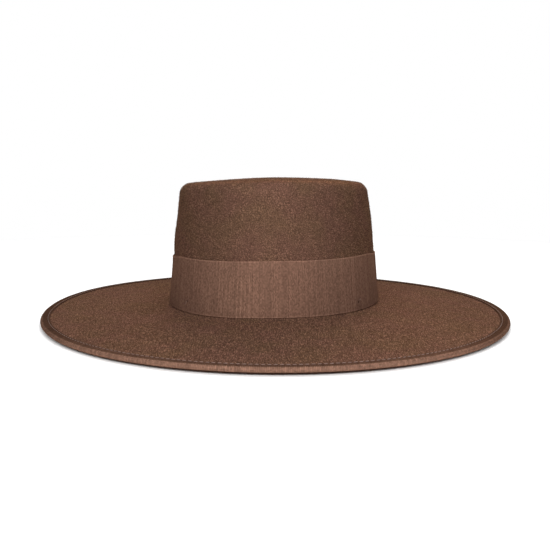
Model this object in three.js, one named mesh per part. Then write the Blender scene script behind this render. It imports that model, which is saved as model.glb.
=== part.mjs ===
import * as THREE from 'three';

// Felt boater hat: one blocked felt shell that is both crown and brim, a ribbon round the foot of
// the crown, and a ribbon folded over the edge of the brim.
// Millimetres, +Z up, the front of the hat towards -Y. The hat rests on the underside of its bound
// edge at Z = 0, with the middle of the crown over the origin.

// Felt shell
const headWidth = 166; // inside the foot of the crown, side to side
const headLength = 198; // inside the foot of the crown, front to back
const feltThickness = 2;
const crownHeight = 95; // from the foot of the crown to the corner of side and top
const crownTaper = 9; // how far the side leans in over that height
const crownRise = 3.8; // how far the middle of the top stands above that corner
const shoulderRadius = 12; // round between side and top
const breakRadius = 2; // round between side and brim
const brimWidth = 102; // from the foot of the crown to the outer edge of the binding
const brimDrop = 8.5; // how far the brim falls from the crown to its edge
const settleRun = 5; // length of felt inside the binding over which the brim turns level

// Ribbon round the crown
const bandWidth = 40.5;
const bandThickness = 0.7;
const bandClearance = 0.3; // to the side of the crown and to the brim

// Ribbon folded over the edge of the brim
const bindingReach = 7.5; // from its outer edge to the edge of its flanges
const bindingThickness = 0.5;
const bindingClearance = 0.3; // to the felt inside the fold

// Fineness of the faceted surfaces
const planSegments = 72;
const crownTopSteps = 3;
const shoulderSteps = 6;
const breakSteps = 4;
const settleSteps = 3;
const edgeSteps = 6;

// Sizes that follow from the ones above. The plan of the hat is an oval, the outer face of the
// crown at its foot, and every section point is placed by its reach: how far outside that oval it
// lies, or inside it where the reach is negative.
const ovalHalfWidth = headWidth / 2 + feltThickness;
const ovalHalfLength = headLength / 2 + feltThickness;
const feltLift = bindingThickness + bindingClearance;
const edgeTop = feltLift + feltThickness;
const footHeight = edgeTop + brimDrop;
const feltReach = brimWidth - feltLift;
const coreReach = -(crownTaper + shoulderRadius);

function point(reach, height) {
  return new THREE.Vector2(reach, height);
}

// Unit vector to the left of the way from one section point to another
function leftOf(from, to) {
  const along = to.clone().sub(from).normalize();
  return point(-along.y, along.x);
}

// Angle that takes one direction into another, between minus and plus half a turn
function turnBetween(from, to) {
  const angle = to.angle() - from.angle();
  return THREE.MathUtils.euclideanModulo(angle + Math.PI, 2 * Math.PI) - Math.PI;
}

// Length that a round of this radius takes off each side of a corner
function roundRun(before, corner, after, radius) {
  const turn = turnBetween(corner.clone().sub(before), after.clone().sub(corner));
  return radius * Math.tan(Math.abs(turn) / 2);
}

// Points of the arc that rounds a corner and meets both of its sides at this run from it
function roundCorner(before, corner, after, run, steps) {
  const start = before.clone().sub(corner).setLength(run).add(corner);
  const end = after.clone().sub(corner).setLength(run).add(corner);
  const middle = start.clone().lerp(end, 0.5);
  const chordToCentre = start.distanceToSquared(middle) / corner.distanceTo(middle);
  const centre = middle.clone().sub(corner).setLength(chordToCentre).add(middle);
  const spoke = start.clone().sub(centre);
  const turn = turnBetween(spoke, end.clone().sub(centre));
  return Array.from({ length: steps + 1 }, (_, step) => (
    start.clone().rotateAround(centre, (turn * step) / steps)));
}

// Points of the half circle that closes the outer edge of a level layer, from its top to its bottom
function roundEdge(outerReach, topHeight, bottomHeight) {
  const radius = (topHeight - bottomHeight) / 2;
  const centre = point(outerReach - radius, bottomHeight + radius);
  const start = point(centre.x, topHeight);
  return Array.from({ length: edgeSteps + 1 }, (_, step) => (
    start.clone().rotateAround(centre, (-Math.PI * step) / edgeSteps)));
}

// The face that lies one thickness to the right of a line of section points
function parallelFace(line, thickness) {
  const sides = line.slice(1).map((to, index) => leftOf(line[index], to));
  return line.map((here, index) => {
    const arriving = sides[Math.max(index - 1, 0)];
    const leaving = sides[Math.min(index, sides.length - 1)];
    const bisector = arriving.clone().add(leaving).normalize();
    return here.clone().addScaledVector(bisector, -thickness / bisector.dot(leaving));
  });
}

// Place on the plan at one angle. Outside the core the plan keeps an even distance to the oval, and
// inside it the plan shrinks to the middle of the crown.
function planPoint(angle, reach) {
  const acrossUnit = Math.cos(angle);
  const alongUnit = Math.sin(angle);
  const normal = new THREE.Vector2(ovalHalfLength * acrossUnit, ovalHalfWidth * alongUnit).normalize();
  const kept = Math.max(reach, coreReach);
  const shrink = (ovalHalfWidth + reach) / (ovalHalfWidth + kept);
  return new THREE.Vector2(ovalHalfWidth * acrossUnit, ovalHalfLength * alongUnit)
    .addScaledVector(normal, kept)
    .multiplyScalar(shrink);
}

// A section carried once round the plan. It is a lathe geometry whose rings are laid on the oval.
function ovalSolid(section) {
  const lathe = section.map((corner) => point(ovalHalfWidth + corner.x, corner.y));
  const geometry = new THREE.LatheGeometry(lathe, planSegments);
  const position = geometry.getAttribute('position');
  for (let index = 0; index < position.count; index += 1) {
    const corner = section[index % section.length];
    const segment = Math.floor(index / section.length) % planSegments;
    const place = planPoint((2 * Math.PI * segment) / planSegments, corner.x);
    position.setXYZ(index, place.x, place.y, corner.y);
  }
  geometry.computeVertexNormals();
  return geometry;
}

function clothMesh(name, geometry, colour, roughness) {
  const material = new THREE.MeshStandardMaterial({ color: colour, roughness, metalness: 0 });
  const mesh = new THREE.Mesh(geometry, material);
  mesh.name = name;
  return mesh;
}

// Corners of the section, before any is rounded
const foot = point(0, footHeight);
const crownCorner = point(-crownTaper, footHeight + crownHeight);
const crownMiddle = point(-ovalHalfWidth, crownCorner.y + crownRise);
const brimCorner = point(brimWidth - bindingReach - settleRun, edgeTop);

// The crown's top is a shallow bow: its height at a share of the way from the middle to the corner
function crownTopPoint(share) {
  const reach = THREE.MathUtils.lerp(crownMiddle.x, crownCorner.x, share);
  return point(reach, crownCorner.y + crownRise * (1 - share * share));
}

// Crown and brim, one shell of felt, open below
function feltBody() {
  const topHalfWidth = crownCorner.x - crownMiddle.x;
  const topTangent = point(crownMiddle.x, crownCorner.y + 2 * crownRise);
  const shoulderRun = roundRun(topTangent, crownCorner, foot, shoulderRadius);
  const bowEnd = 1 - shoulderRun / topHalfWidth;
  const bow = Array.from({ length: crownTopSteps }, (_, step) => (
    crownTopPoint((bowEnd * step) / crownTopSteps)));
  const breakRun = roundRun(crownCorner, foot, brimCorner, breakRadius);
  const settled = point(feltReach, edgeTop);
  const upper = [
    ...bow,
    ...roundCorner(topTangent, crownCorner, foot, shoulderRun, shoulderSteps),
    ...roundCorner(crownCorner, foot, brimCorner, breakRun, breakSteps),
    ...roundCorner(foot, brimCorner, settled, settleRun, settleSteps),
  ];
  const lower = parallelFace(upper, feltThickness).reverse();
  lower[lower.length - 1].x = crownMiddle.x;
  const edge = roundEdge(feltReach, edgeTop, feltLift);
  return ovalSolid([...upper, ...edge, ...lower].reverse());
}

// Ribbon laid flat on the side of the crown, its lower edge in the break
function ribbonBand() {
  const up = crownCorner.clone().sub(foot).normalize();
  const outward = leftOf(crownCorner, foot);
  const breakRun = roundRun(crownCorner, foot, brimCorner, breakRadius);
  const intoBreak = breakRadius - Math.min(bandClearance, breakRadius);
  const breakTop = breakRun - Math.sqrt(breakRadius * breakRadius - intoBreak * intoBreak);
  const lowerEdge = breakTop + bandClearance;
  const at = (height, lift) => foot.clone().addScaledVector(up, height).addScaledVector(outward, lift);
  const inner = bandClearance;
  const outer = bandClearance + bandThickness;
  const upperEdge = lowerEdge + bandWidth;
  return ovalSolid([
    at(lowerEdge, outer),
    at(upperEdge, outer),
    at(upperEdge, inner),
    at(lowerEdge, inner),
    at(lowerEdge, outer),
  ]);
}

// Ribbon folded over the edge of the brim, a flange above and one below
function brimBinding() {
  const flangeReach = brimWidth - bindingReach;
  const top = edgeTop + feltLift;
  const insideTop = edgeTop + bindingClearance;
  const insideBottom = feltLift - bindingClearance;
  const outside = roundEdge(brimWidth, top, 0);
  const inside = roundEdge(brimWidth - bindingThickness, insideTop, insideBottom);
  return ovalSolid([
    point(flangeReach, insideTop),
    ...inside,
    point(flangeReach, insideBottom),
    point(flangeReach, 0),
    ...outside.reverse(),
    point(flangeReach, top),
    point(flangeReach, insideTop),
  ]);
}

const hat = new THREE.Group();
hat.add(clothMesh('felt_body', feltBody(), 0x694e3f, 0.95));
hat.add(clothMesh('ribbon_band', ribbonBand(), 0x7a5c50, 0.8));
hat.add(clothMesh('brim_binding', brimBinding(), 0x755a50, 0.8));

export default hat;
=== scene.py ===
import math

import bmesh
import bpy
import numpy as np
from mathutils import Matrix, Vector


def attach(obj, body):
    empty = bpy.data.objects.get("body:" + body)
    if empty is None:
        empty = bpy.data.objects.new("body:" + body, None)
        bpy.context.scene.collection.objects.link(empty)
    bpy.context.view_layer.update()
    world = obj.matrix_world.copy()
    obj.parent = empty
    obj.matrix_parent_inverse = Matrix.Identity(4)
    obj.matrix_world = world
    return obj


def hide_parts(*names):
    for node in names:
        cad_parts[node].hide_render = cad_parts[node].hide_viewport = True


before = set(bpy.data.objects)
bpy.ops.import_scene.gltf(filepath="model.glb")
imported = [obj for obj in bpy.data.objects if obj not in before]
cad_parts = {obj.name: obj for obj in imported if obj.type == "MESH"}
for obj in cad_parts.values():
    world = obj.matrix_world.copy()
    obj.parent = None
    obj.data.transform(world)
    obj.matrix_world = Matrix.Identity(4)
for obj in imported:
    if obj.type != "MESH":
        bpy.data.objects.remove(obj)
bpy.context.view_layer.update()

# Felt boater hat: the finish of its felt, its ribbon band and its bound edge.
# Metres, +Z up, the front of the hat towards -Y. Sizes repeat those of the solids, but for a tighter
# shoulder and a lower bow of the crown's top.

ROUND = 2 * math.pi

# Felt
HEAD_WIDTH = 0.166
HEAD_LENGTH = 0.198
FELT_THICKNESS = 0.002
CROWN_HEIGHT = 0.095
CROWN_TAPER = 0.009
CROWN_RISE = 0.0030
SHOULDER_RADIUS = 0.008
BREAK_RADIUS = 0.002
BRIM_WIDTH = 0.102
BRIM_DROP = 0.0085
SETTLE_RUN = 0.005

# Ribbon round the crown
BAND_WIDTH = 0.0405
BAND_THICKNESS = 0.0007
BAND_CLEARANCE = 0.0003

# Ribbon folded over the edge of the brim
BINDING_REACH = 0.0075
BINDING_THICKNESS = 0.0005
BINDING_CLEARANCE = 0.0003

# Sizes that follow from these
OVAL_HALF_WIDTH = HEAD_WIDTH / 2 + FELT_THICKNESS
OVAL_HALF_LENGTH = HEAD_LENGTH / 2 + FELT_THICKNESS
FELT_LIFT = BINDING_THICKNESS + BINDING_CLEARANCE
EDGE_TOP = FELT_LIFT + FELT_THICKNESS
FOOT_HEIGHT = EDGE_TOP + BRIM_DROP
CROWN_CORNER_HEIGHT = FOOT_HEIGHT + CROWN_HEIGHT
CORE_REACH = -(CROWN_TAPER + SHOULDER_RADIUS)
RIM_THICKNESS = EDGE_TOP + FELT_LIFT

# Ribs of the ribbons. A few of them are spun, and doubled until they go all round
BAND_DOUBLINGS = 6
BAND_RIBS = 12 * 2 ** BAND_DOUBLINGS
BAND_RIB_DEPTH = 0.00009
BINDING_DOUBLINGS = 7
BINDING_RIBS = 9 * 2 ** BINDING_DOUBLINGS
BINDING_RIB_DEPTH = 0.00018
COLUMNS_PER_RIB = 3
PICOT_DEPTH = 0.00024
YARN_PITCH = 0.0003
SLUB_LENGTH = 0.0012

# Fineness of the meshes
FELT_COLUMNS = 256
FELT_STEP = 0.0032
FELT_EVEN_REACH = 0.05  # where the felt's columns are evenly spaced
BAND_STEP = 0.0045
BINDING_STEP = 0.0035

# How the worn-in hat differs from the plain form
RIM_GAP = 0.0028  # between the rim and the floor, but for the back
BRIM_OFFSET = 0.0012  # of the brim to the right of the crown
LEFT_BACK_RISE = 0.0012
RIGHT_BACK_FALL = 0.0009
EDGE_ROLL = 0.0005
ROLLED_WIDTH = 0.011
BRIM_WAVE = 0.0003
CROWN_LEFT_FALL = 0.0026
TOP_LEFT_RELIEF = 0.0006
TOP_FRONT_RISE = 0.0030
TOP_BACK_RISE = 0.0012
TOP_RIGHT_LEAN = 0.0013
TOP_RIGHT_FALL = 0.0008
LEFT_SWELL = 0.0010
DENT_SHARE = 0.0012
BAND_LEFT_SAG = 0.0036
BAND_RIGHT_SAG = 0.0026

# Sewing
STITCH_REACH = BRIM_WIDTH - BINDING_REACH + 0.0016
STITCH_DOUBLINGS = 6
STITCHES = 5 * 2 ** STITCH_DOUBLINGS
STITCH_LENGTH = 0.0027
THREAD_THICKNESS = 0.00046
TACK_LIFT = 0.00012
BAND_LAP = 0.014
BINDING_LAP = 0.012

# Loose fibres that stand a little off the felt
NAP_FIBRES = 31000
NAP_THICKNESS = 0.00016
NAP_LENGTHS = 0.0005, 0.0012
NAP_LEANS = 4, 42  # degrees off the felt
ON_BRIM = 1
ON_CROWN = 2

# Colours, each dye with the one that it drifts to
FELT_DYE = (0.0950, 0.0482, 0.0335, 1)
FELT_DRIFT = (0.0895, 0.0490, 0.0305, 1)
FELT_TINT = (1.0, 0.59, 0.42, 1)
LIGHT_NAP = (0.300, 0.180, 0.118, 1)
DARK_NAP = (0.085, 0.043, 0.030, 1)
RIBBON_DYE = (0.158, 0.0865, 0.0600, 1)
RIBBON_DRIFT = (0.153, 0.0825, 0.0575, 1)
RIBBON_TINT = (1.0, 0.62, 0.46, 1)
THREAD_DYE = (0.20, 0.125, 0.10, 1)
THREAD_DRIFT = (0.17, 0.10, 0.08, 1)
# Near black: painted shade for the holes of the band's tacks
PAINTED_HOLE_SHADE = (0.008, 0.004, 0.003, 1)
FLOOR_WHITE = (0.95, 0.95, 0.95, 1)
WHITE = (1, 1, 1, 1)

# Camera of the photograph: its lens in millimetres, its place in metres, and its turns in degrees
LENS = 51.44
SENSOR_WIDTH = 36
CAMERA_DISTANCE = 0.6465
CAMERA_HEIGHT = 0.1182
CAMERA_PAN = -0.073
CAMERA_DIP = 7.839
CAMERA_ROLL = 0.21


def smooth_share(value, start, end):
    """0 before start, 1 after end, and an even bend between them."""
    share = np.clip((value - start) / (end - start), 0, 1)
    return share * share * (3 - 2 * share)


def oval_plan(turn, reach):
    """Places on the oval plan of the hat, for arrays of turns and reaches."""
    across = np.cos(turn)
    along = np.sin(turn)
    oval = np.stack([OVAL_HALF_WIDTH * across, OVAL_HALF_LENGTH * along], axis=-1)
    normal = np.stack([OVAL_HALF_LENGTH * across, OVAL_HALF_WIDTH * along], axis=-1)
    normal /= np.linalg.norm(normal, axis=-1, keepdims=True)
    kept = np.maximum(reach, CORE_REACH)
    shrink = (OVAL_HALF_WIDTH + reach) / (OVAL_HALF_WIDTH + kept)
    return (oval + normal * kept[..., None]) * shrink[..., None]


def way_round(reach):
    """Turns of the oval, and how far along its outline at this reach each of them lies."""
    turns = np.linspace(0, ROUND, 4097)
    places = oval_plan(turns, np.full_like(turns, reach))
    steps = np.linalg.norm(np.diff(places, axis=0), axis=1)
    return turns, np.concatenate([[0], np.cumsum(steps)])


def hat_place(turn, reach, height):
    """Places on the worn-in hat: the plain form, with what shaping by hand left in it."""
    turn, reach, height = np.broadcast_arrays(
        np.asarray(turn, float), np.asarray(reach, float), np.asarray(height, float))
    plan = oval_plan(turn, reach)
    side = plan[..., 0]
    front = -np.sin(turn)
    outward = smooth_share(reach, 0, BRIM_WIDTH)

    # The hat stands on the back of its rim. The brim sits a little to the right, and its left back
    # stands higher than its right back
    wrapped = np.mod(turn, ROUND)
    resting = smooth_share(-front, 0.84, 0.98)
    lowered = smooth_share(reach, 0.03, BRIM_WIDTH - BINDING_REACH)
    side = side + BRIM_OFFSET * outward
    left_back = LEFT_BACK_RISE * np.exp(-((wrapped - 2.75) / 0.45) ** 2)
    right_back = RIGHT_BACK_FALL * np.exp(-((wrapped - 1.0) / 0.35) ** 2)
    shift = np.maximum(RIM_GAP + (left_back - right_back - RIM_GAP * resting) * lowered, 0)

    # The edge of the brim hangs a little at the front, and most on both sides of its middle
    roll = EDGE_ROLL * smooth_share(front, -0.2, 0.3)
    roll = roll + EDGE_ROLL * np.exp(-((front - 0.75) / 0.22) ** 2)
    shift = shift - roll * smooth_share(reach, BRIM_WIDTH - ROLLED_WIDTH, BRIM_WIDTH)

    # Slow waves in the middle of the brim
    middle = np.sin(math.pi * np.clip(reach / BRIM_WIDTH, 0, 1)) ** 2
    waves = np.sin(3 * turn + 0.7) + 0.6 * np.sin(5 * turn - 1.1)
    shift = shift + BRIM_WAVE * waves * middle

    # The crown sits lower on its left, and its top edge stands higher at the front and the back
    on_hat = 1 - smooth_share(reach, 0, 0.05)
    high = smooth_share(height, 0.065, 0.100)
    left_fall = (CROWN_LEFT_FALL - TOP_LEFT_RELIEF * high) * smooth_share(-side, -0.01, 0.075)
    shift = shift - left_fall * on_hat
    from_middle = np.clip(1 + reach / OVAL_HALF_WIDTH, 0, 1) ** 2
    edge_rise = np.where(front > 0, TOP_FRONT_RISE, TOP_BACK_RISE) * front ** 2 * from_middle
    shift = shift + edge_rise * high

    # The right of its top leans in and falls, and its left side swells above the band
    right = smooth_share(side, 0.045, 0.078) * smooth_share(height, 0.075, 0.104)
    side = side - TOP_RIGHT_LEAN * right
    shift = shift - TOP_RIGHT_FALL * right
    over_band = np.exp(-((height - 0.064) / 0.012) ** 2)
    side = side - LEFT_SWELL * smooth_share(-side, 0.05, 0.08) * over_band * (reach < 0.002)

    # The crown's side is a little uneven
    on_crown = 1 - smooth_share(reach, -0.001, 0.012)
    dents = np.sin(2 * turn + 0.4 + 30 * height) + 0.7 * np.sin(5 * turn + 45 * height)
    swell = 1 + DENT_SHARE * dents * on_crown * smooth_share(height, 0.012, 0.04)
    return np.stack([side * swell, plan[..., 1] * swell, height + shift], axis=-1)


def section_line(points, closed=False):
    """A bmesh that holds one line through these section points, given as (reach, height)."""
    shape = bmesh.new()
    corners = [shape.verts.new((OVAL_HALF_WIDTH + reach, 0, height)) for reach, height in points]
    for first, second in zip(corners, corners[1:] + corners[:1] if closed else corners[1:]):
        shape.edges.new((first, second))
    return shape, corners


def round_corner(shape, corner, run, segments):
    """Rounds one corner of a section line, over this run of both its sides."""
    bmesh.ops.bevel(shape, geom=[corner], offset=run, offset_type="OFFSET", segments=segments,
                    profile=0.5, affect="VERTICES", material=-1)


def divide_edges(shape, step):
    """Divides the edges of a section line until none is longer than this step."""
    for edge in shape.edges[:]:
        cuts = math.ceil(edge.calc_length() / step - 1e-6) - 1
        if cuts > 0:
            bmesh.ops.subdivide_edges(shape, edges=[edge], cuts=cuts)


def double_round(shape, angle, doublings):
    """Copies what there is round the upright axis, by this angle and then by twice as much."""
    for _ in range(doublings):
        copied = bmesh.ops.duplicate(shape, geom=shape.verts[:] + shape.edges[:] + shape.faces[:])
        moved = [item for item in copied["geom"] if isinstance(item, bmesh.types.BMVert)]
        bmesh.ops.rotate(shape, verts=moved, cent=(0, 0, 0), matrix=Matrix.Rotation(angle, 3, "Z"))
        angle *= 2


def spin_round(shape, steps, doublings=0):
    """Spins a section line once round the upright axis: one part in these steps, then doubled."""
    angle = ROUND / 2 ** doublings
    bmesh.ops.spin(shape, geom=shape.verts[:] + shape.edges[:], cent=(0, 0, 0), axis=(0, 0, 1),
                   dvec=(0, 0, 0), angle=angle, steps=steps, use_merge=doublings == 0,
                   use_duplicate=False)
    double_round(shape, angle, doublings)
    bmesh.ops.remove_doubles(shape, verts=shape.verts[:], dist=1e-6)
    bmesh.ops.recalc_face_normals(shape, faces=shape.faces[:])


def rib_profile(phase):
    """Height of a rib, from 0 in the valley to 1 on its ridge, at a share of its pitch."""
    return np.abs(np.sin(math.pi * phase)) ** 0.8


def lay_on_hat(shape, even_reach, ribs=0, rise=None, lap=None):
    """Lays a round shape on the hat, its columns evenly spaced along the outline at this reach.
    Ribs sink the surface along its normals by the vertex layer rise between their ridges."""
    turns, way = way_round(even_reach)
    places = np.array([vert.co for vert in shape.verts])
    share = np.mod(np.arctan2(places[:, 1], places[:, 0]) / ROUND, 1)
    share[share > 1 - 1e-7] = 0
    radius = np.hypot(places[:, 0], places[:, 1])
    height = places[:, 2]
    if ribs:
        shape.normal_update()
        normals = np.array([vert.normal for vert in shape.verts])
        outward = (normals[:, 0] * places[:, 0] + normals[:, 1] * places[:, 1]) / radius
        depth = np.array([vert[rise] for vert in shape.verts])
        sunk = depth * (rib_profile(share * ribs) - 1)
        if lap is not None:
            above = np.clip(normals[:, 2] + 1, 0, 1)
            sunk = sunk + lap(share * way[-1], way[-1]) * (depth > 0) * above
        radius = radius + outward * sunk
        height = height + normals[:, 2] * sunk
    turn = np.interp(share * way[-1], way, turns)
    laid = hat_place(turn, radius - OVAL_HALF_WIDTH, height)
    around = shape.verts.layers.float.new("around")
    for vert, place, value in zip(shape.verts, laid.tolist(), share.tolist()):
        vert.co = place
        vert[around] = value
    return around, way[-1]


def lay_uv(shape, around, length, across):
    """A UV map in metres: along the ribbon, and across it."""
    uv = shape.loops.layers.uv.new("ribbon_way")
    for face in shape.faces:
        shares = [loop.vert[around] for loop in face.loops]
        wraps = max(shares) - min(shares) > 0.5
        for loop, share in zip(face.loops, shares):
            along = share + 1 if wraps and share < 0.5 else share
            loop[uv].uv = (along * length, loop.vert[across])


def mesh_of(shape, name):
    """The mesh of a bmesh, which ends here."""
    mesh = bpy.data.meshes.new(name)
    shape.to_mesh(mesh)
    shape.free()
    return mesh


def add_piece(mesh, name, node=None):
    """The smooth piece of a mesh: its object and body, with the part of the node that it stands for
    hidden.
    """
    mesh.polygons.foreach_set("use_smooth", [True] * len(mesh.polygons))
    piece = bpy.data.objects.new(name, mesh)
    bpy.context.scene.collection.objects.link(piece)
    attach(piece, "root")
    if node:
        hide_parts(node)
    return piece


def finish_piece(shape, name, material, node=None):
    mesh = mesh_of(shape, name)
    mesh.materials.append(material)
    return add_piece(mesh, name, node)


# Materials


def new_group(name, inputs, outputs):
    """A shader node group with these named sockets, and its input and output nodes."""
    group = bpy.data.node_groups.new(name, "ShaderNodeTree")
    for label, kind, default in inputs:
        socket = group.interface.new_socket(label, in_out="INPUT", socket_type=kind)
        if default is not None:
            socket.default_value = default
    for label, kind in outputs:
        group.interface.new_socket(label, in_out="OUTPUT", socket_type=kind)
    return group, group.nodes.new("NodeGroupInput"), group.nodes.new("NodeGroupOutput")


def add_node(tree, kind, settings=None, **values):
    """A node with these settings and socket values. A value that is a socket is linked."""
    node = tree.nodes.new(kind)
    for label, value in (settings or {}).items():
        setattr(node, label, value)
    for label, value in values.items():
        set_socket(tree, node.inputs[label.replace("_", " ")], value)
    return node


def set_socket(tree, socket, value):
    if isinstance(value, bpy.types.NodeSocket):
        tree.links.new(value, socket)
    else:
        socket.default_value = value


def math_node(tree, operation, first, second=0.0):
    node = tree.nodes.new("ShaderNodeMath")
    node.operation = operation
    set_socket(tree, node.inputs[0], first)
    set_socket(tree, node.inputs[1], second)
    return node.outputs[0]


def spread(tree, value, low, high, to_low=0.0, to_high=1.0):
    """Maps low to high of a value on to another range, and clips it there."""
    node = tree.nodes.new("ShaderNodeMapRange")
    node.clamp = True
    for socket, number in zip(node.inputs, (value, low, high, to_low, to_high)):
        set_socket(tree, socket, number)
    return node.outputs[0]


def noise_value(tree, vector, scale, detail=2.0, roughness=0.5, distortion=0.0):
    node = add_node(tree, "ShaderNodeTexNoise", Vector=vector, Scale=scale, Detail=detail,
                    Roughness=roughness, Distortion=distortion)
    return node.outputs["Fac"]


def mix_colour(tree, factor, first, second):
    node = tree.nodes.new("ShaderNodeMix")
    node.data_type = "RGBA"
    set_socket(tree, node.inputs[0], factor)
    set_socket(tree, node.inputs[6], first)
    set_socket(tree, node.inputs[7], second)
    return node.outputs[2]


def scale_vector(tree, vector, level):
    """A colour or vector times a number."""
    node = add_node(tree, "ShaderNodeVectorMath", {"operation": "SCALE"}, Scale=level)
    tree.links.new(vector, node.inputs[0])
    return node.outputs[0]


def uneven_dye_group():
    """A dyed colour that drifts to a second one in soft patches, and lightens and darkens."""
    group, given, made = new_group(
        "uneven_dye",
        [("Vector", "NodeSocketVector", None), ("Color", "NodeSocketColor", (0.1, 0.05, 0.03, 1)),
         ("Drift Color", "NodeSocketColor", (0.1, 0.05, 0.03, 1)),
         ("Patch Scale", "NodeSocketFloat", 30.0), ("Lightness", "NodeSocketFloat", 0.2)],
        [("Color", "NodeSocketColor")])
    patches = noise_value(group, given.outputs["Vector"], given.outputs["Patch Scale"], 3.0)
    drift = spread(group, patches, 0.36, 0.64)
    dyed = mix_colour(group, drift, given.outputs["Color"], given.outputs["Drift Color"])
    finer = math_node(group, "MULTIPLY", given.outputs["Patch Scale"], 3.3)
    clouds = noise_value(group, given.outputs["Vector"], finer, 2.0)
    swing = math_node(group, "MULTIPLY", math_node(group, "SUBTRACT", clouds, 0.5),
                      given.outputs["Lightness"])
    level = math_node(group, "ADD", swing, 1.0)
    group.links.new(scale_vector(group, dyed, level), made.inputs["Color"])
    return group


def loose_fibres_group():
    """Short curly fibres lying on a cloth: where they show, and how high they stand."""
    group, given, made = new_group(
        "loose_fibres",
        [("Vector", "NodeSocketVector", None), ("Scale", "NodeSocketFloat", 600.0)],
        [("Mask", "NodeSocketFloat"), ("Speckle", "NodeSocketFloat"),
         ("Height", "NodeSocketFloat")])
    vector = given.outputs["Vector"]
    scale = given.outputs["Scale"]
    ridges = []
    for stretch, turned in (((1.0, 0.45, 0.8), 0.6), ((0.45, 1.0, 0.9), -0.5)):
        aimed = add_node(group, "ShaderNodeMapping", Vector=vector)
        aimed.inputs["Rotation"].default_value = (turned, turned * 0.7, turned)
        aimed.inputs["Scale"].default_value = stretch
        wander = noise_value(group, aimed.outputs[0], scale, 2.0, 0.55, 0.6)
        off_ridge = math_node(group, "ABSOLUTE", math_node(group, "SUBTRACT", wander, 0.5))
        ridges.append(spread(group, off_ridge, 0.0, 0.07, 1.0, 0.0))
    fibres = math_node(group, "MAXIMUM", ridges[0], ridges[1])
    speckle = noise_value(group, vector, math_node(group, "MULTIPLY", scale, 1.7), 1.0)
    height = math_node(group, "ADD", math_node(group, "MULTIPLY", fibres, 0.6), speckle)
    group.links.new(fibres, made.inputs["Mask"])
    group.links.new(spread(group, speckle, 0.3, 0.7), made.inputs["Speckle"])
    group.links.new(height, made.inputs["Height"])
    return group


def grosgrain_group():
    """Warp yarns of a ribbed ribbon that cross its ribs, over and under in turn. It reads a
    vector in metres: along the ribbon, and across it."""
    group, given, made = new_group(
        "grosgrain",
        [("Vector", "NodeSocketVector", None), ("Rib Pitch", "NodeSocketFloat", 0.001),
         ("Yarn Pitch", "NodeSocketFloat", 0.0003)],
        [("Yarn", "NodeSocketFloat"), ("Rib", "NodeSocketFloat"), ("Streak", "NodeSocketFloat"),
         ("Slub", "NodeSocketFloat")])
    place = add_node(group, "ShaderNodeSeparateXYZ", Vector=given.outputs["Vector"])
    ribs = math_node(group, "DIVIDE", place.outputs[0], given.outputs["Rib Pitch"])
    number = math_node(group, "FLOOR", ribs)
    within = math_node(group, "FRACT", ribs)
    ridge = math_node(group, "SINE", math_node(group, "MULTIPLY", within, math.pi))
    shift = math_node(group, "MULTIPLY", math_node(group, "MODULO", number, 2.0), 0.5)
    yarns = math_node(group, "DIVIDE", place.outputs[1], given.outputs["Yarn Pitch"])
    yarn = math_node(group, "FRACT", math_node(group, "ADD", yarns, shift))
    bulge = math_node(group, "SINE", math_node(group, "MULTIPLY", yarn, math.pi))
    own = add_node(group, "ShaderNodeTexWhiteNoise", {"noise_dimensions": "1D"}, W=number)

    # Each rib has its own tone, and slubs of another tone along it
    pieces = math_node(group, "DIVIDE", place.outputs[1], SLUB_LENGTH)
    start = math_node(group, "MULTIPLY", own.outputs["Value"], 5.0)
    piece = math_node(group, "FLOOR", math_node(group, "ADD", pieces, start))
    cell = add_node(group, "ShaderNodeCombineXYZ", X=number, Y=piece)
    slub = add_node(group, "ShaderNodeTexWhiteNoise", {"noise_dimensions": "2D"},
                    Vector=cell.outputs[0])

    # In places every fourth rib is lighter
    fourth = math_node(group, "LESS_THAN", math_node(group, "MODULO", number, 4.0), 0.5)
    stretch = add_node(group, "ShaderNodeMapping", Vector=given.outputs["Vector"])
    stretch.inputs["Scale"].default_value = (1.0, 0.35, 1.0)
    where = spread(group, noise_value(group, stretch.outputs[0], 45.0, 1.0), 0.50, 0.62)
    lighter_fourth_rib = math_node(group, "MULTIPLY", math_node(group, "MULTIPLY", fourth, where), 1.2)
    streak = math_node(group, "ADD", own.outputs["Value"], lighter_fourth_rib)
    group.links.new(math_node(group, "MULTIPLY", bulge, ridge), made.inputs["Yarn"])
    group.links.new(ridge, made.inputs["Rib"])
    group.links.new(streak, made.inputs["Streak"])
    group.links.new(slub.outputs["Value"], made.inputs["Slub"])
    return group


UNEVEN_DYE = uneven_dye_group()
LOOSE_FIBRES = loose_fibres_group()
GROSGRAIN = grosgrain_group()


def cloth_material(name):
    """A material with its Principled BSDF, ready for colour, roughness and normal."""
    material = bpy.data.materials.new(name)
    material.use_nodes = True
    tree = material.node_tree
    tree.nodes.clear()
    output = tree.nodes.new("ShaderNodeOutputMaterial")
    cloth = tree.nodes.new("ShaderNodeBsdfPrincipled")
    tree.links.new(cloth.outputs["BSDF"], output.inputs["Surface"])
    return material, tree, cloth


def place_group(tree, group, **values):
    node = tree.nodes.new("ShaderNodeGroup")
    node.node_tree = group
    for label, value in values.items():
        set_socket(tree, node.inputs[label.replace("_", " ")], value)
    return node


def raise_surface(tree, cloth, height, strength, distance):
    bump = add_node(tree, "ShaderNodeBump", Height=height, Strength=strength, Distance=distance)
    tree.links.new(bump.outputs[0], cloth.inputs["Normal"])


def own_colour_gloss(cloth, share, tint):
    """The broad gloss of brushed cloth: this share of its light, in its own colour, and tinted
    where it is seen at a low angle."""
    cloth.inputs["Roughness"].default_value = 0.6
    cloth.inputs["Metallic"].default_value = share
    cloth.inputs["Specular IOR Level"].default_value = 0.0
    cloth.inputs["Specular Tint"].default_value = tint


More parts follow.
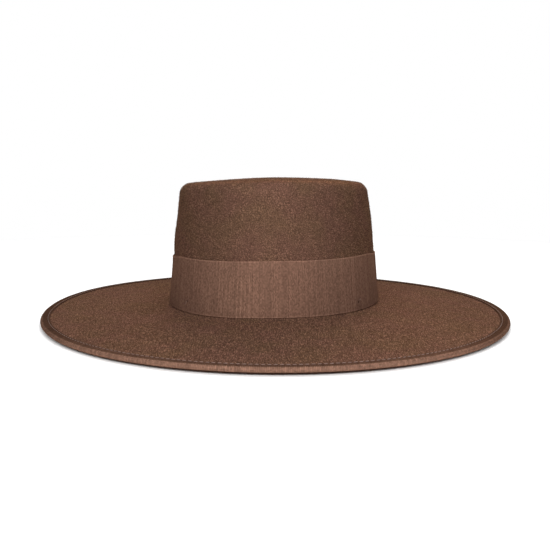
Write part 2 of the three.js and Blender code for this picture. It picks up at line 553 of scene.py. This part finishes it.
def felt_material():
    material, tree, cloth = cloth_material("brown_felt")
    place = tree.nodes.new("ShaderNodeTexCoord").outputs["Object"]
    dye = place_group(tree, UNEVEN_DYE, Vector=place, Color=FELT_DYE, Drift_Color=FELT_DRIFT,
                      Patch_Scale=42.0, Lightness=0.30)
    brushed = tree.nodes.new("ShaderNodeMapping")
    tree.links.new(place, brushed.inputs["Vector"])
    brushed.inputs["Scale"].default_value = (1.0, 0.2, 1.0)
    fibres = place_group(tree, LOOSE_FIBRES, Vector=brushed.outputs[0], Scale=900.0)
    specks = math_node(tree, "POWER", fibres.outputs["Speckle"], 2.5)
    level = math_node(tree, "ADD", spread(tree, specks, 0.0, 1.0, 0.54, 2.05),
                      math_node(tree, "MULTIPLY", fibres.outputs["Mask"], 0.40))
    shade = scale_vector(tree, dye.outputs["Color"], level)
    tree.links.new(shade, cloth.inputs["Base Color"])
    raise_surface(tree, cloth, fibres.outputs["Height"], 0.5, 0.00025)
    own_colour_gloss(cloth, 0.3, FELT_TINT)
    return material


def nap_material(name, colour):
    material, _, cloth = cloth_material(name)
    cloth.inputs["Base Color"].default_value = colour
    own_colour_gloss(cloth, 0.3, FELT_TINT)
    return material


def ribbon_material(name, length, ribs, width, folded=False):
    """The ribbon's finish. Both edges are painted paler, a painted highlight where their raised cord
    catches the light. A folded ribbon also has painted light on its fold, painted shade on its flat
    flanges, and painted shade all round but at the front of the hat."""
    material, tree, cloth = cloth_material(name)
    way = add_node(tree, "ShaderNodeUVMap", {"uv_map": "ribbon_way"}).outputs[0]
    place = tree.nodes.new("ShaderNodeTexCoord").outputs["Object"]
    dye = place_group(tree, UNEVEN_DYE, Vector=place, Color=RIBBON_DYE, Drift_Color=RIBBON_DRIFT,
                      Patch_Scale=25.0, Lightness=0.12)
    weave = place_group(tree, GROSGRAIN, Vector=way, Rib_Pitch=length / ribs,
                        Yarn_Pitch=YARN_PITCH)
    streaks = spread(tree, weave.outputs["Streak"], 0.0, 2.2, 0.90, 1.40)
    slubs = spread(tree, weave.outputs["Slub"], 0.0, 1.0, 0.76, 1.24)
    rib_shade = spread(tree, weave.outputs["Rib"], 0.0, 0.9, 0.70, 1.08)
    yarn_shade = spread(tree, weave.outputs["Yarn"], 0.0, 1.0, 0.94, 1.05)
    level = math_node(tree, "MULTIPLY", math_node(tree, "MULTIPLY", streaks, rib_shade),
                      math_node(tree, "MULTIPLY", slubs, yarn_shade))
    across = add_node(tree, "ShaderNodeSeparateXYZ", Vector=way).outputs[1]
    off_middle = math_node(tree, "ABSOLUTE", math_node(tree, "SUBTRACT", across, width / 2))
    # Painted highlight: both edges of the ribbon are painted paler, where their raised cord catches
    # the light
    painted_selvedge_highlight = spread(tree, off_middle, width / 2 - 0.0012, width / 2 - 0.0006, 1.0, 1.3)
    level = math_node(tree, "MULTIPLY", level, painted_selvedge_highlight)
    if folded:
        # Painted light and shade: the fold is painted lighter, as if lit, and the flat flanges darker,
        # as if in shade
        painted_fold_light_flange_shade = spread(tree, off_middle, 0.0023, 0.0032, 1.12, 0.46)
        # Painted shade: the sides and back of the binding are painted darker than its front
        behind = add_node(tree, "ShaderNodeSeparateXYZ", Vector=place).outputs[1]
        painted_shade_off_front = spread(tree, behind, -0.165, -0.100, 1.0, 0.62)
        level = math_node(tree, "MULTIPLY", level, math_node(tree, "MULTIPLY", painted_fold_light_flange_shade, painted_shade_off_front))
    shade = scale_vector(tree, dye.outputs["Color"], level)
    tree.links.new(shade, cloth.inputs["Base Color"])
    raise_surface(tree, cloth, weave.outputs["Yarn"], 0.6, 0.00008)
    own_colour_gloss(cloth, 0.35, RIBBON_TINT)
    return material


def thread_material():
    material, tree, cloth = cloth_material("sewing_thread")
    place = tree.nodes.new("ShaderNodeTexCoord").outputs["Object"]
    dye = place_group(tree, UNEVEN_DYE, Vector=place, Color=THREAD_DYE, Drift_Color=THREAD_DRIFT,
                      Patch_Scale=400.0, Lightness=0.4)
    fibres = place_group(tree, LOOSE_FIBRES, Vector=place, Scale=4000.0)
    tree.links.new(dye.outputs["Color"], cloth.inputs["Base Color"])
    raise_surface(tree, cloth, fibres.outputs["Height"], 0.4, 0.00004)
    cloth.inputs["Roughness"].default_value = 0.6
    return material


# Pieces


def felt_body(material):
    """Crown and brim in one sheet of felt, whose wall is then thickened inwards."""
    crown_corner = (-CROWN_TAPER, CROWN_CORNER_HEIGHT)
    brim_corner = (BRIM_WIDTH - BINDING_REACH - SETTLE_RUN, EDGE_TOP)
    settled = (BRIM_WIDTH - FELT_LIFT, EDGE_TOP)
    crown_middle = (-OVAL_HALF_WIDTH, CROWN_CORNER_HEIGHT)
    shape, corners = section_line([crown_middle, crown_corner, (0, FOOT_HEIGHT), brim_corner, settled])
    shoulder, foot, edge = corners[1:4]
    shoulder_turn = math.pi / 2 - math.atan(CROWN_TAPER / CROWN_HEIGHT)
    foot_turn = shoulder_turn - math.atan(BRIM_DROP / brim_corner[0])
    round_corner(shape, shoulder, SHOULDER_RADIUS * math.tan(shoulder_turn / 2), 8)
    round_corner(shape, foot, BREAK_RADIUS * math.tan(foot_turn / 2), 5)
    round_corner(shape, edge, SETTLE_RUN * 0.99, 4)
    divide_edges(shape, FELT_STEP)
    spin_round(shape, FELT_COLUMNS)
    top_half = OVAL_HALF_WIDTH - CROWN_TAPER
    bare = shape.verts.layers.float.new("bare")
    band_top = band_at(lower_edge() + BAND_WIDTH, 0)[1]
    for vert in shape.verts:
        radius = math.hypot(vert.co.x, vert.co.y)
        if BREAK_RADIUS * 2 < radius - OVAL_HALF_WIDTH < BRIM_WIDTH - BINDING_REACH:
            vert[bare] = ON_BRIM
        elif vert.co.z > band_top:
            vert[bare] = ON_CROWN
        share = min(radius / top_half, 1)
        high = max(0, min(1, (vert.co.z - FOOT_HEIGHT) / CROWN_HEIGHT))
        vert.co.z += CROWN_RISE * (1 - share ** 2) * high
    lay_on_hat(shape, FELT_EVEN_REACH)
    piece = finish_piece(shape, "felt_crown_and_brim", material, "felt_body")
    wall = piece.modifiers.new("wall", "SOLIDIFY")
    wall.thickness = FELT_THICKNESS
    wall.offset = -1
    wall.use_even_offset = True
    return piece


def split_faces(mesh):
    """The faces as triangles. Blender keeps faces in another order on each run, so every face is
    split at its lowest corner, and the triangles are sorted."""
    triangles = []
    for face in mesh.polygons:
        corners = list(face.vertices)
        lowest = corners.index(min(corners))
        corners = corners[lowest:] + corners[:lowest]
        triangles += [(corners[0], *pair) for pair in zip(corners[1:], corners[2:])]
    return np.array(sorted(triangles))


def felt_nap(name, body, where, materials, seed):
    """Short fibres that lie loose on one bare part of the felt. Each is a copy of one spindle."""
    shape = bmesh.new()
    bmesh.ops.create_uvsphere(shape, u_segments=3, v_segments=2, radius=1.0)
    spindle = np.array([vert.co for vert in shape.verts])
    sides = np.array([[vert.index for vert in face.verts] for face in shape.faces])
    shape.free()

    # Roots, spread evenly over the area of that part
    mesh = body.data
    corners = split_faces(mesh)
    bare = np.empty(len(mesh.vertices))
    mesh.attributes["bare"].data.foreach_get("value", bare)
    places = np.empty(len(mesh.vertices) * 3)
    mesh.vertices.foreach_get("co", places)
    corners = corners[(bare[corners] == where).all(axis=1)]
    first, second, third = places.reshape(-1, 3)[corners].swapaxes(0, 1)
    across = np.cross(second - first, third - first)
    area = np.linalg.norm(across, axis=1)
    draw = np.random.default_rng(seed)
    chosen = draw.choice(len(area), NAP_FIBRES, p=area / area.sum())
    shares = np.sort(draw.random((NAP_FIBRES, 2)), axis=1)
    root = (first[chosen] * shares[:, :1] + second[chosen] * (shares[:, 1:] - shares[:, :1])
            + third[chosen] * (1 - shares[:, 1:]))
    normal = across[chosen] / area[chosen, None]

    # Each leans its own way. All are placed at once, as an operator call for each takes too long
    flat = np.cross(normal, draw.normal(size=(NAP_FIBRES, 3)))
    flat /= np.linalg.norm(flat, axis=1, keepdims=True)
    lean = np.radians(draw.uniform(*NAP_LEANS, (NAP_FIBRES, 1)))
    along = flat * np.cos(lean) + normal * np.sin(lean)
    side = np.cross(along, normal)
    side /= np.linalg.norm(side, axis=1, keepdims=True)
    axes = np.stack([side, np.cross(along, side), along], axis=1)
    width = NAP_THICKNESS / 2 * draw.uniform(0.7, 1.3, NAP_FIBRES)
    length = draw.uniform(*NAP_LENGTHS, NAP_FIBRES) / 2
    size = np.stack([width, width, length], axis=1)
    fibres = (spindle + [0, 0, 0.9])[None] * size[:, None]
    verts = np.einsum("nvk,nkc->nvc", fibres, axes) + root[:, None]
    faces = sides[None] + len(spindle) * np.arange(NAP_FIBRES)[:, None, None]
    nap = bpy.data.meshes.new(name)
    nap.from_pydata(verts.reshape(-1, 3).tolist(), [], faces.reshape(-1, 3).tolist())
    for material in materials:
        nap.materials.append(material)
    tone = np.repeat(draw.integers(0, len(materials), NAP_FIBRES), len(sides))
    nap.polygons.foreach_set("material_index", tone)
    add_piece(nap, name)


def band_at(across, lift):
    """Section point this far up the crown's side from its foot, and this far off it."""
    up = Vector((-CROWN_TAPER, CROWN_HEIGHT)).normalized()
    out = Vector((up.y, -up.x))
    point = up * across + out * lift
    return point.x, FOOT_HEIGHT + point.y


def lower_edge():
    """How far up the crown's side the band starts, just above the break."""
    side_turn = math.pi / 2 - math.atan(CROWN_TAPER / CROWN_HEIGHT)
    foot_turn = side_turn - math.atan(BRIM_DROP / (BRIM_WIDTH - BINDING_REACH - SETTLE_RUN))
    break_run = BREAK_RADIUS * math.tan(foot_turn / 2)
    into = BREAK_RADIUS - BAND_CLEARANCE
    return break_run - math.sqrt(BREAK_RADIUS ** 2 - into ** 2) + BAND_CLEARANCE


def ribbon_ring(points, ribs, doublings, across_at, rise_at, step, even_reach, lap):
    """A ribbed ribbon laid round the hat, from the closed line of its cross-section."""
    shape, _ = section_line(points, closed=True)
    divide_edges(shape, step)
    across = shape.verts.layers.float.new("across")
    rise = shape.verts.layers.float.new("rise")
    for vert in shape.verts:
        reach = vert.co.x - OVAL_HALF_WIDTH
        vert[across] = across_at(reach, vert.co.z)
        vert[rise] = rise_at(reach, vert.co.z)
    spin_round(shape, ribs // 2 ** doublings * COLUMNS_PER_RIB, doublings)
    around, length = lay_on_hat(shape, even_reach, ribs, rise, lap)
    lay_uv(shape, around, length, across)
    return shape, length


def lap_step(width, height):
    """The end of a ribbon that laps over its start at the back of the hat."""
    def lift(way, length):
        before = length / 4 - way
        return height * smooth_share(-before, -width, -width * 0.4) * (before > 0)
    return lift


def ribbon_band(material_for):
    start = lower_edge()
    outer = BAND_CLEARANCE + BAND_THICKNESS

    # From an edge inwards: the raised cord of the selvedge, a groove, and the flat face
    profile = [(0, outer - 0.00022), (0.0004, outer + 0.00016), (0.0010, outer - 0.00010),
               (0.0016, outer)]
    face = profile + [(BAND_WIDTH - across, lift) for across, lift in reversed(profile)]
    back = [(BAND_WIDTH, BAND_CLEARANCE), (0, BAND_CLEARANCE)]
    points = [band_at(start + across, lift) for across, lift in face + back]
    up = Vector((-CROWN_TAPER, CROWN_HEIGHT)).normalized()

    def across_at(reach, height):
        return up.x * reach + up.y * (height - FOOT_HEIGHT) - start

    def rise_at(reach, height):
        lift = up.y * reach - up.x * (height - FOOT_HEIGHT)
        across = across_at(reach, height)
        on_edge = across < 0.0002 or across > BAND_WIDTH - 0.0002
        share = max(0, (lift - BAND_CLEARANCE) / BAND_THICKNESS)
        return min(share, 1) * (PICOT_DEPTH if on_edge else BAND_RIB_DEPTH)

    shape, length = ribbon_ring(points, BAND_RIBS, BAND_DOUBLINGS, across_at, rise_at, BAND_STEP,
                                0.0, lap_step(BAND_LAP, BAND_THICKNESS * 0.7))

    # Its upper edge has sagged a little on both sides of the hat
    across_layer = shape.verts.layers.float["across"]
    for vert in shape.verts:
        sag = BAND_LEFT_SAG if vert.co.x < 0 else BAND_RIGHT_SAG
        at_side = smooth_share(abs(vert.co.x) / OVAL_HALF_WIDTH, 0.82, 0.99)
        sag *= at_side * vert[across_layer] / BAND_WIDTH
        out = Vector((vert.co.x, vert.co.y, 0)).normalized() * CROWN_TAPER / CROWN_HEIGHT
        vert.co += (out - Vector((0, 0, 1))) * sag
    piece = finish_piece(shape, "ribbon_round_crown",
                         material_for("band_grosgrain", length, BAND_RIBS, BAND_WIDTH),
                         "ribbon_band")


def band_tacks(name, tacks, material):
    """Short tacks that hold the band's lower edge to the crown, and near-black beads beside them that
    are painted shade for their holes. Each goes from one turn and height above that edge to another."""
    turns, way = way_round(0.0)
    lift = BAND_CLEARANCE + BAND_THICKNESS + TACK_LIFT
    shape = bmesh.new()
    for tack in tacks:
        ends = []
        for turn, across in tack:
            angle = ROUND * np.interp(turn + ROUND, turns, way) / way[-1]
            reach, height = band_at(lower_edge() + across, lift)
            radius = OVAL_HALF_WIDTH + reach
            ends.append(Vector((radius * math.cos(angle), radius * math.sin(angle), height)))
        run = ends[1] - ends[0]
        middle = (ends[0] + ends[1]) / 2
        out = Vector((middle.x, middle.y, 0)).normalized()
        add_stitch(shape, middle, run.normalized(), out, run.length)
    bmesh.ops.recalc_face_normals(shape, faces=shape.faces[:])
    lay_on_hat(shape, 0.0)
    finish_piece(shape, name, material)


def brim_binding(material_for):
    flange = BRIM_WIDTH - BINDING_REACH
    top = RIM_THICKNESS
    middle = top / 2
    inside = BINDING_THICKNESS

    # From the flange's edge outwards: its raised cord, the groove that the stitches pull, the fold
    upper = [(flange, top - 0.00016), (flange + 0.0004, top + 0.0001),
             (flange + 0.0009, top - 0.00004), (STITCH_REACH, top - 0.00016),
             (STITCH_REACH + 0.0012, top + 0.00004), (BRIM_WIDTH - middle, top)]
    arc = [(BRIM_WIDTH - middle + middle * math.sin(angle), middle + middle * math.cos(angle))
           for angle in (math.pi * part / 8 for part in range(1, 8))]
    lower = [(reach, max(0.0, top - height)) for reach, height in reversed(upper)]
    inner_arc = [(BRIM_WIDTH - middle + (middle - inside) * math.sin(angle),
                  middle + (middle - inside) * math.cos(angle))
                 for angle in (math.pi * part / 3 for part in (3, 2, 1, 0))]
    points = upper + arc + lower + [(flange, inside)] + inner_arc + [(flange, top - inside)]
    fold = BRIM_WIDTH - middle - flange
    outline_length = 2 * fold + math.pi * middle

    def across_at(reach, height):
        if reach >= BRIM_WIDTH - middle:
            return fold + middle * math.atan2(reach - (BRIM_WIDTH - middle), height - middle)
        return reach - flange if height > middle else outline_length - (reach - flange)

    def rise_at(reach, height):
        off_middle = abs(height - middle)
        if reach > BRIM_WIDTH - middle:
            off_middle = math.hypot(reach - (BRIM_WIDTH - middle), height - middle)
        share = max(0, (off_middle - middle + inside) / inside)
        depth = PICOT_DEPTH if reach < flange + 0.0002 else BINDING_RIB_DEPTH
        return min(share, 1) * depth

    shape, length = ribbon_ring(points, BINDING_RIBS, BINDING_DOUBLINGS, across_at, rise_at,
                                BINDING_STEP, BRIM_WIDTH,
                                lap_step(BINDING_LAP, BINDING_THICKNESS * 0.6))
    finish = material_for("binding_grosgrain", length, BINDING_RIBS, outline_length, True)
    piece = finish_piece(shape, "ribbon_over_edge", finish, "brim_binding")


def add_stitch(shape, middle, along, up, length):
    """One stitch of thread lying on a surface, as a long rounded bead."""
    side = up.cross(along).normalized()
    turned = Matrix((side, along.cross(side), along)).transposed().to_4x4()
    size = Matrix.Diagonal((THREAD_THICKNESS / 2, THREAD_THICKNESS / 2, length / 2, 1))
    bmesh.ops.create_uvsphere(shape, u_segments=6, v_segments=5, radius=1.0,
                              matrix=Matrix.Translation(middle) @ turned @ size)


def binding_stitches(material):
    """A row of stitches along the binding, above the brim and below it. A few are made, doubled
    until they go all round, and laid on the hat as the binding is."""
    few = STITCHES // 2 ** STITCH_DOUBLINGS
    radius = OVAL_HALF_WIDTH + STITCH_REACH
    shape = bmesh.new()
    for index in range(few):
        angle = ROUND * index / STITCHES
        out = Vector((math.cos(angle), math.sin(angle), 0))
        along = Vector((-math.sin(angle), math.cos(angle), 0.03))
        length = STITCH_LENGTH * radius * ROUND / way_round(STITCH_REACH)[1][-1]
        for height, up in ((RIM_THICKNESS + 0.00002, 1), (0.00026, -1)):
            add_stitch(shape, out * radius + Vector((0, 0, height)), along.normalized(),
                       Vector((0, 0, up)), length)
    double_round(shape, ROUND / 2 ** STITCH_DOUBLINGS, STITCH_DOUBLINGS)
    lay_on_hat(shape, STITCH_REACH)
    finish_piece(shape, "binding_stitches", material)


# Stage


def studio(name, azimuth, elevation, distance, width, height, power):
    """A soft box that aims at the hat from this many degrees to the right of the camera's side and
    above the floor."""
    light = bpy.data.lights.new(name, "AREA")
    light.shape = "RECTANGLE"
    light.size = width
    light.size_y = height
    light.energy = power
    lamp = bpy.data.objects.new(name, light)
    turned = math.radians(azimuth)
    raised = math.radians(elevation)
    aim = Vector((0, 0, 0.05))
    away = Vector((math.sin(turned) * math.cos(raised), -math.cos(turned) * math.cos(raised),
                   math.sin(raised)))
    lamp.location = aim + away * distance
    lamp.rotation_mode = "QUATERNION"
    lamp.rotation_quaternion = away.to_track_quat("Z", "Y")
    lamp.visible_camera = False
    bpy.context.scene.collection.objects.link(lamp)


def white_surroundings():
    """A world that the camera sees as plain white, and that lights nothing."""
    world = bpy.data.worlds.new("white_surroundings")
    world.use_nodes = True
    tree = world.node_tree
    tree.nodes.clear()
    output = tree.nodes.new("ShaderNodeOutputWorld")
    seen = add_node(tree, "ShaderNodeBackground", Color=WHITE, Strength=1.0)
    unlit = add_node(tree, "ShaderNodeBackground", Color=WHITE, Strength=0.0)
    rays = tree.nodes.new("ShaderNodeLightPath")
    mixed = tree.nodes.new("ShaderNodeMixShader")
    tree.links.new(rays.outputs["Is Camera Ray"], mixed.inputs[0])
    tree.links.new(unlit.outputs[0], mixed.inputs[1])
    tree.links.new(seen.outputs[0], mixed.inputs[2])
    tree.links.new(mixed.outputs[0], output.inputs["Surface"])
    bpy.context.scene.world = world


def white_floor():
    """A plain white floor. It is see-through from below and for the light that comes from there,
    so that the underside can be looked at."""
    shape = bmesh.new()
    bmesh.ops.create_circle(shape, cap_ends=True, segments=64, radius=0.75)
    mesh = mesh_of(shape, "floor")
    material = bpy.data.materials.new("white_floor")
    material.use_nodes = True
    tree = material.node_tree
    tree.nodes.clear()
    output = tree.nodes.new("ShaderNodeOutputMaterial")
    paint = add_node(tree, "ShaderNodeBsdfDiffuse", Color=FLOOR_WHITE)
    clear = tree.nodes.new("ShaderNodeBsdfTransparent")
    facing = tree.nodes.new("ShaderNodeNewGeometry")
    rays = tree.nodes.new("ShaderNodeLightPath")
    through = math_node(tree, "MAXIMUM", facing.outputs["Backfacing"], rays.outputs["Is Shadow Ray"])
    mixed = tree.nodes.new("ShaderNodeMixShader")
    tree.links.new(through, mixed.inputs[0])
    tree.links.new(paint.outputs[0], mixed.inputs[1])
    tree.links.new(clear.outputs[0], mixed.inputs[2])
    tree.links.new(mixed.outputs[0], output.inputs["Surface"])
    mesh.materials.append(material)
    floor = bpy.data.objects.new("floor", mesh)
    bpy.context.scene.collection.objects.link(floor)


def camera():
    """The camera at the photograph's angle: before the hat, a little above its crown."""
    lens = bpy.data.cameras.new("camera")
    lens.lens = LENS
    lens.sensor_width = SENSOR_WIDTH
    lens.clip_start = 0.01
    viewer = bpy.data.objects.new("camera", lens)
    pan = Matrix.Rotation(math.radians(CAMERA_PAN), 4, "Z")
    tilt = Matrix.Rotation(math.radians(90 - CAMERA_DIP), 4, "X")
    roll = Matrix.Rotation(math.radians(CAMERA_ROLL), 4, "Z")
    place = Matrix.Translation((0, -CAMERA_DISTANCE, CAMERA_HEIGHT + RIM_GAP))
    viewer.matrix_world = place @ pan @ tilt @ roll
    bpy.context.scene.collection.objects.link(viewer)
    bpy.context.scene.camera = viewer


camera()
white_floor()
white_surroundings()
studio("top_box", 0, 88, 1.7, 1.8, 1.4, 21)
studio("left_front_box", -15, 28, 1.5, 0.6, 0.5, 14.7)
studio("right_front_box", 15, 28, 1.5, 0.6, 0.5, 12.2)
studio("back_box", 168, 45, 1.6, 1.4, 0.6, 15.5)
studio("fill_below", 30, -50, 1.4, 1.0, 1.0, 6)
bpy.context.scene.view_settings.view_transform = "Standard"

felt = felt_body(felt_material())
nap_tones = [nap_material("light_nap", LIGHT_NAP), nap_material("dark_nap", DARK_NAP)]
felt_nap("nap_of_brim", felt, ON_BRIM, nap_tones, 3)
felt_nap("nap_of_crown", felt, ON_CROWN, nap_tones, 4)
thread = thread_material()
ribbon_band(ribbon_material)
band_tacks("light_tacks", [((-2.4475, 0.0086), (-2.4625, 0.0056)),
                           ((-0.7200, 0.0072), (-0.7050, 0.0084))], thread)
# Painted shade: near-black beads beside the tacks stand for the shaded holes where the thread goes in
band_tacks("painted_hole_shade_beads", [((-2.4420, 0.0094), (-2.4300, 0.0078)),
                          ((-0.7450, 0.0052), (-0.7300, 0.0074))],
           nap_material("painted_hole_shade", PAINTED_HOLE_SHADE))
brim_binding(ribbon_material)
binding_stitches(thread)
